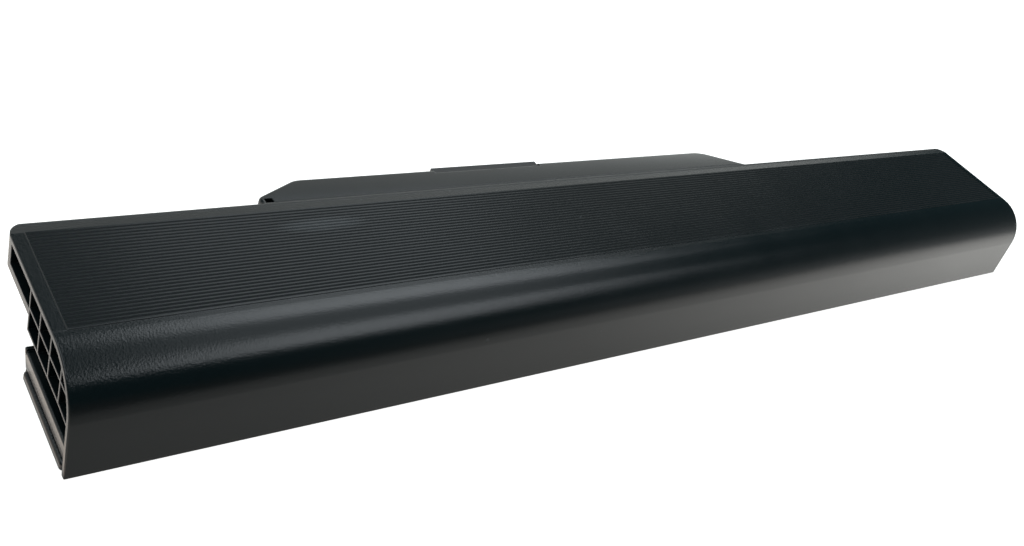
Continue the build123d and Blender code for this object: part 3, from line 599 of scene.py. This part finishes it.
def moulded_chip(finish, name, middle_y, half_width):
    """Moulded chip body with a fine grain, and tinned leads past its two long sides."""
    material, tree, shader = new_material(name)
    vector, axes = place(tree)
    lead = ramp(tree, away_from(tree, axes["Y"], middle_y), half_width, half_width + 0.00005)
    fine = noise(tree, vector, 9000.0, detail=2.0)
    grey = tuple(1.9 * part for part in finish.epoxy)
    body = blend_colours(tree, fine, finish.epoxy, grey)
    skin = blend_colours(tree, lead, body, finish.tin)
    bump = put(tree, "Bump", Distance=0.000012, Height=fine)
    rough = ramp(tree, sum_of(tree, "MULTIPLY_ADD", fine, 0.3, lead), 0.0, 1.3, 0.62, 0.30)
    feed(tree, shader, Base_Color=skin, Metallic=lead, Roughness=rough, Normal=bump.outputs["Normal"])
    return material


def capped_part(finish, name, tint, start, pitch, run, cap):
    """Small blocks in a row along X, each with a tinned cap at both ends."""
    material, tree, shader = new_material(name)
    vector, axes = place(tree)
    along = sum_of(tree, "FLOORED_MODULO", sum_of(tree, "SUBTRACT", axes["X"], start), pitch)
    soft = cap * 0.1
    left = ramp(tree, along, cap + soft, cap - soft)
    right = ramp(tree, along, run - cap - soft, run - cap + soft)
    tinned = sum_of(tree, "MAXIMUM", left, right)
    fine = noise(tree, vector, 7000.0, detail=3.0)
    dark = tuple(0.75 * part for part in tint)
    body = blend_colours(tree, fine, dark, tuple(tint))
    skin = blend_colours(tree, tinned, body, finish.tin)
    bump = put(tree, "Bump", Distance=0.000015, Height=fine)
    rough = ramp(tree, fine, 0.3, 0.7, 0.34, 0.5)
    feed(tree, shader, Base_Color=skin, Metallic=tinned, Roughness=rough, Normal=bump.outputs["Normal"])
    return material


def round_floor(reach, rings=24, spokes=96):
    """A flat disc: x = r cos a, y = r sin a, z = 0, with r growing as the square of its ring."""
    r = reach * (np.arange(1, rings + 1) / rings) ** 2
    a = np.arange(spokes) * 2 * np.pi / spokes
    rim = np.stack([np.outer(r, np.cos(a)), np.outer(r, np.sin(a)), np.zeros((rings, spokes))], axis=-1)
    points = np.vstack([np.zeros((1, 3)), rim.reshape(-1, 3)])
    ring, spoke = np.meshgrid(np.arange(rings - 1), np.arange(spokes), indexing="ij")
    inner = 1 + ring * spokes + spoke
    beside = 1 + ring * spokes + (spoke + 1) % spokes
    quads = np.stack([inner, inner + spokes, beside + spokes, beside], axis=-1).reshape(-1, 4)
    first = np.arange(spokes)
    middle = np.stack([np.zeros(spokes, int), 1 + first, 1 + (first + 1) % spokes], axis=-1)
    return points, quads.tolist() + middle.tolist()


def mirrored_floor(tree, studio, x, y):
    """Light of the floor in reflections: it grows to the right and the rear, and is shaded at the front wall."""
    contact_gap = 0.0005
    front = cad_box[0][1]
    across = sum_of(tree, "MAXIMUM", sum_of(tree, "MULTIPLY_ADD", x, studio.left_gain, studio.mirror_left),
                    sum_of(tree, "MULTIPLY_ADD", x, studio.right_gain, studio.mirror_right))
    slope = sum_of(tree, "MULTIPLY_ADD", y, studio.mirror_rear, across)
    level = sum_of(tree, "MINIMUM", sum_of(tree, "MAXIMUM", slope, studio.mirror_least), studio.mirror_most)
    shade = ramp(tree, y, front - contact_gap, front - contact_gap - studio.contact_reach,
                 studio.contact_light, 1.0)
    return sum_of(tree, "MULTIPLY", level, shade)


def past_left_end(tree, x):
    """Mask of the floor past the left end: strongest in a strip beside it, and faint further out."""
    faint = 0.22
    left = cad_box[0][0]
    strip = ramp(tree, x, left - 0.0035, left - 0.0020, faint, 1.0)
    return sum_of(tree, "MULTIPLY", ramp(tree, x, left - 0.0001, left - 0.0008), strip)


def floor_finish(studio):
    """Pale floor that looks white to the camera, and in reflections dims to the front left."""
    material, tree, shader = new_material("pale floor")
    vector, axes = place(tree)
    rays = put(tree, "LightPath").outputs
    mirrored = sum_of(tree, "MAXIMUM", rays["Is Glossy Ray"], rays["Is Transmission Ray"])
    dark = tuple(0.97 * part for part in studio.floor)
    pale = blend_colours(tree, noise(tree, vector, 9.0, detail=3.0), dark, tuple(studio.floor))
    feed(tree, shader, Base_Color=blend_colours(tree, mirrored, pale, (0.0, 0.0, 0.0)), Roughness=0.9,
         Specular_IOR_Level=0.0)
    past = past_left_end(tree, axes["X"])
    level = mirrored_floor(tree, studio, axes["X"], axes["Y"])
    level = sum_of(tree, "MULTIPLY_ADD", past, studio.end_glow, level)
    strength = sum_of(tree, "ADD", sum_of(tree, "MULTIPLY", rays["Is Camera Ray"], studio.floor_glow),
                      sum_of(tree, "MULTIPLY", mirrored, level))
    tint = blend_colours(tree, sum_of(tree, "MULTIPLY", past, mirrored), studio.glow_tint, studio.end_tint)
    glow = put(tree, "Emission", Color=tint, Strength=strength)
    both = put(tree, "AddShader")
    tree.links.new(shader.outputs["BSDF"], both.inputs[0])
    tree.links.new(glow.outputs["Emission"], both.inputs[1])
    output = next(node for node in tree.nodes if node.bl_idname == "ShaderNodeOutputMaterial")
    tree.links.new(both.outputs["Shader"], output.inputs["Surface"])
    return material


def room_light(studio):
    """Room round the floor: dim, with a pale backdrop low behind the battery and daylight at the right."""
    backdrop_slope = 0.35
    low_gain = 2.3
    daylight_edge = 0.62
    daylight_falloff = 2.7
    world = bpy.data.worlds.new("room")
    world.use_nodes = True
    tree = world.node_tree
    direction = put(tree, "TexCoord").outputs["Generated"]
    parts = put(tree, "SeparateXYZ", Vector=direction).outputs
    rise = sum_of(tree, "MULTIPLY_ADD", parts["Y"], -backdrop_slope, parts["Z"])
    behind = sum_of(tree, "MULTIPLY", ramp(tree, parts["Y"], 0.44, 0.59), ramp(tree, rise, 0.33, 0.23))
    low = sum_of(tree, "MULTIPLY", ramp(tree, parts["Z"], 0.30, 0.16), ramp(tree, parts["X"], -0.3, 0.1))
    bright = tuple(low_gain * part for part in studio.backdrop)
    walls = blend_colours(tree, behind, studio.room, blend_colours(tree, low, studio.backdrop, bright))
    window = put(tree, "VectorMath", {"operation": "DOT_PRODUCT"})
    tree.links.new(direction, window.inputs[0])
    window.inputs[1].default_value = studio.daylight_from
    near = put(tree, "MapRange", Value=window.outputs["Value"], From_Min=daylight_edge, From_Max=1.0)
    lit = sum_of(tree, "POWER", near.outputs["Result"], daylight_falloff)
    lit = sum_of(tree, "MULTIPLY", lit, ramp(tree, parts["Z"], 0.40, 0.0, 0.2, 1.0))
    tree.links.new(blend_colours(tree, lit, walls, studio.daylight), tree.nodes["Background"].inputs["Color"])
    return world


def soft_lamp(name, spot, size, light, tint, turn=(0.0, 0.0, 0.0)):
    """Hang a rectangular lamp of a given brightness, which shines down unless it is turned."""
    lamp = bpy.data.lights.new(name, "AREA")
    lamp.color = tint
    lamp.shape = "RECTANGLE"
    lamp.size, lamp.size_y = size
    lamp.energy = light * np.pi * size[0] * size[1]
    holder = bpy.data.objects.new(name, lamp)
    holder.location = spot
    holder.rotation_euler = turn
    holder.visible_camera = False
    bpy.context.scene.collection.objects.link(holder)


class BATTERY_OT_case(bpy.types.Operator):
    """Finish the two covers and the connector block in black plastic"""

    bl_idname = "battery.case"
    bl_label = "Case"

    def execute(self, context):
        finish = context.scene.battery_case
        dress(["top_cover", "bottom_cover"], case_plastic(finish))
        dress(["connector_housing"], connector_plastic(finish))
        return {"FINISHED"}


class BATTERY_OT_cells(bpy.types.Operator):
    """Finish the cells, their rings and the insulation behind them"""

    bl_idname = "battery.cells"
    bl_label = "Cells and insulation"

    def execute(self, context):
        finish = context.scene.battery_cells
        dress(CELLS, cell_sleeve(finish))
        dress(RINGS, fibre_sheet("ring paper", finish.paper, 0.00025, 0.85))
        dress(["insulating_sheet"], fibre_sheet("insulating film", finish.film, 0.0004, 0.5))
        dress(["cell_pads"], adhesive_foam(finish))
        return {"FINISHED"}


class BATTERY_OT_wiring(bpy.types.Operator):
    """Finish the nickel strips, the contacts and the leads"""

    bl_idname = "battery.wiring"
    bl_label = "Strips and leads"

    def execute(self, context):
        finish = context.scene.battery_wiring
        dress(STRIPS, plated_metal("nickel strip", finish.nickel, 0.24))
        dress(["connector_contacts"], plated_metal("contact plating", finish.gold, 0.18))
        dress(["positive_lead"], wire_insulation("positive insulation", finish.positive))
        dress(["negative_lead", "thermistor"], wire_insulation("negative insulation", finish.negative))
        dress(SENSE_LEADS, wire_insulation("sense insulation", finish.sense))
        return {"FINISHED"}


class BATTERY_OT_board(bpy.types.Operator):
    """Finish the circuit board and the parts on it"""

    bl_idname = "battery.board"
    bl_label = "Board and its parts"

    def execute(self, context):
        finish = context.scene.battery_board
        lead_reach = 0.00095
        dress(["circuit_board"], printed_board(finish))
        for name in ("gauge_chip", "protection_chip", "switch_transistors"):
            low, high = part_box(name)
            half = (high[1] - low[1]) / 2 - lead_reach
            dress([name], moulded_chip(finish, name.replace("_", " "), (low[1] + high[1]) / 2, half))
        cap = 0.00035
        rows = [
            ("chip_capacitors", finish.ceramic, 0.0032, 0.0020),
            ("chip_resistors", finish.epoxy, 0.0032, 0.0016),
            ("sense_resistor", finish.epoxy, 0.0200, 0.0064),
            ("thermal_fuse", finish.fuse, 0.0200, 0.0090),
        ]
        for name, tint, pitch, run in rows:
            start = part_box(name)[0][0]
            dress([name], capped_part(finish, name.replace("_", " "), tint, start, pitch, run, cap))
        return {"FINISHED"}


class BATTERY_OT_stage(bpy.types.Operator):
    """Set the floor, the lamps and the camera"""

    bl_idname = "battery.stage"
    bl_label = "Studio"

    def execute(self, context):
        scene = context.scene
        studio = scene.battery_studio
        floor_gap = np.array([0.0, 0.0, 0.0001])
        points, faces = round_floor(studio.floor_reach)
        mesh = bpy.data.meshes.new("floor")
        mesh.from_pydata(points - floor_gap, [], faces)
        mesh.materials.append(floor_finish(studio))
        floor = bpy.data.objects.new("floor", mesh)
        scene.collection.objects.link(floor)
        scene.world = room_light(studio)
        front_edge = studio.front_y + studio.front_width / 2
        rear_edge = studio.rear_y - studio.lamp_width / 2
        sky_edge = studio.rear_y + studio.lamp_width / 2
        front_start = studio.front_y - studio.front_width / 2
        panels = [
            ("front lamp", front_start, front_edge, studio.front_light, studio.front_shift),
            ("fill panel", front_edge, rear_edge, studio.fill_light, studio.fill_shift),
            ("rear lamp", rear_edge, sky_edge, studio.rear_light, 0.0),
            ("sky panel", sky_edge, studio.sky_reach, studio.sky_light, studio.sky_shift),
        ]
        for name, near, far, light, shift in panels:
            spot = (studio.lamp_x + shift, (near + far) / 2, studio.lamp_height)
            soft_lamp(name, spot, (studio.lamp_length, far - near), light, studio.lamp_tint)
        soft_lamp("left lamp", (-studio.lamp_x, 0.0, studio.lamp_height), (studio.left_length, studio.left_width),
                  studio.left_light, studio.lamp_tint, (0.0, -studio.left_turn, 0.0))
        camera = bpy.data.cameras.new("camera")
        camera.sensor_width = 36.0
        camera.lens = studio.lens
        camera.shift_x, camera.shift_y = studio.camera_shift
        camera.clip_start = 0.005
        holder = bpy.data.objects.new("camera", camera)
        right = Vector(studio.camera_right).normalized()
        up = Vector(studio.camera_up).normalized()
        turn = Matrix((right, up, right.cross(up))).transposed().to_4x4()
        holder.matrix_world = Matrix.Translation(studio.camera_place) @ turn
        scene.collection.objects.link(holder)
        scene.camera = holder
        scene.view_settings.view_transform = "Standard"
        return {"FINISHED"}


class BATTERY_PT_panel(bpy.types.Panel):
    """The battery's steps in the sidebar"""

    bl_idname = "BATTERY_PT_panel"
    bl_label = "Laptop battery"
    bl_space_type = "VIEW_3D"
    bl_region_type = "UI"
    bl_category = "Battery"

    def draw(self, context):
        for step in STEPS:
            self.layout.operator(step.bl_idname)


STEPS = (BATTERY_OT_case, BATTERY_OT_cells, BATTERY_OT_wiring, BATTERY_OT_board, BATTERY_OT_stage)
SETTINGS = {
    "battery_case": CaseFinish,
    "battery_cells": CellFinish,
    "battery_wiring": WiringFinish,
    "battery_board": BoardFinish,
    "battery_studio": Studio,
}


def register():
    """Register the settings, the steps and the panel."""
    for name, settings in SETTINGS.items():
        bpy.utils.register_class(settings)
        setattr(bpy.types.Scene, name, PointerProperty(type=settings))
    for step in STEPS:
        bpy.utils.register_class(step)
    bpy.utils.register_class(BATTERY_PT_panel)


def unregister():
    """Take back what register added."""
    bpy.utils.unregister_class(BATTERY_PT_panel)
    for step in reversed(STEPS):
        bpy.utils.unregister_class(step)
    for name, settings in reversed(SETTINGS.items()):
        delattr(bpy.types.Scene, name)
        bpy.utils.unregister_class(settings)


def main():
    """Run the steps in order."""
    register()
    bpy.ops.battery.case()
    bpy.ops.battery.cells()
    bpy.ops.battery.wiring()
    bpy.ops.battery.board()
    bpy.ops.battery.stage()


if __name__ == "__main__":
    main()
